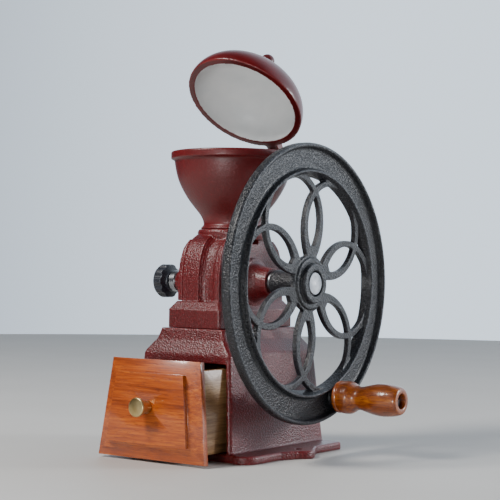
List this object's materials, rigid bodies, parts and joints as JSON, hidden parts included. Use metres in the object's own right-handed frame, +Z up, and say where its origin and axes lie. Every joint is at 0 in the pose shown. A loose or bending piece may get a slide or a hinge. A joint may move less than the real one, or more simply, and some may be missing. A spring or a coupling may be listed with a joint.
{
  "type": "hand crank coffee grinder",
  "caption": "Table coffee grinder with a tapered cast base and drawer, round lidded hopper, spoked flywheel with a turned grip, and a side knob that sets the grind.",
  "frame": {"origin": "on the ground, on the hopper's axis, midway between the two screw-down ear holes", "axes": "+X along the shaft towards the flywheel, -Y towards the drawer front, +Z up"},
  "size_m": [0.2528, 0.2615, 0.3776],
  "materials": {
    "red_enamel": "hammered enamel over cast iron",
    "lid_enamel": "cast aluminium, red enamel outside and pale satin enamel inside",
    "wheel_black": "dark hammered enamel over cast iron",
    "steel": "turned steel",
    "spring_steel": "spring steel",
    "bronze": "plain bearing bronze",
    "brass": "polished",
    "burr_iron": "bare",
    "black_plastic": "moulded",
    "wood_red": "lacquered, red-brown",
    "wood_box": "plain, light"
  },
  "bodies": {
    "frame": {"base_casting": "red_enamel", "mill_body": "red_enamel", "burr_cover": "red_enamel", "cover_screws": "steel", "body_screws": "steel", "hopper": "red_enamel", "front_bush": "bronze", "rear_bush": "bronze", "fixed_burr": "burr_iron", "fixed_burr_screws": "steel", "lock_nut": "steel", "thrust_washer": "steel"},
    "lid": {"hopper_lid": "lid_enamel", "lid_knob": "lid_enamel", "lid_hinge_pin": "steel"},
    "crank": {"flywheel": "wheel_black", "wheel_key": "steel", "wheel_end_cap": "steel", "drive_shaft": "steel", "thrust_spring": "spring_steel", "feed_auger": "burr_iron", "rotating_burr": "burr_iron", "burr_pin": "steel", "grip_bolt": "steel", "grip_washer": "steel"},
    "grip": {"crank_grip": "wood_red"},
    "adjuster": {"adjusting_screw": "steel", "adjusting_knob": "black_plastic"},
    "drawer": {"drawer_front": "wood_red", "drawer_side_left": "wood_box", "drawer_side_right": "wood_box", "drawer_back": "wood_box", "drawer_bottom": "wood_box", "drawer_knob": "brass", "drawer_knob_screw": "steel"}
  },
  "joints": [
    {"name": "crank_turn", "type": "hinge", "parent": "frame", "child": "crank", "pos_m": [0, 0, 0.1563], "axis": [1, 0, 0], "continuous": true},
    {"name": "grip_spin", "type": "hinge", "parent": "crank", "child": "grip", "pos_m": [0.092, 0.043, 0.0522], "axis": [1, 0, 0], "continuous": true},
    {"name": "lid_hinge", "type": "hinge", "parent": "frame", "child": "lid", "pos_m": [0, 0.0745, 0.279], "axis": [-1, 0, 0], "range_deg": [-39.2, 52]},
    {"name": "drawer_slide", "type": "slide", "parent": "frame", "child": "drawer", "axis": [0, -1, 0], "range_m": [-0.0348, 0.08]},
    {"name": "grind_adjust", "type": "hinge", "parent": "frame", "child": "adjuster", "pos_m": [-0.08, 0, 0.1563], "axis": [1, 0, 0], "range_deg": [-360, 360]}
  ]
}
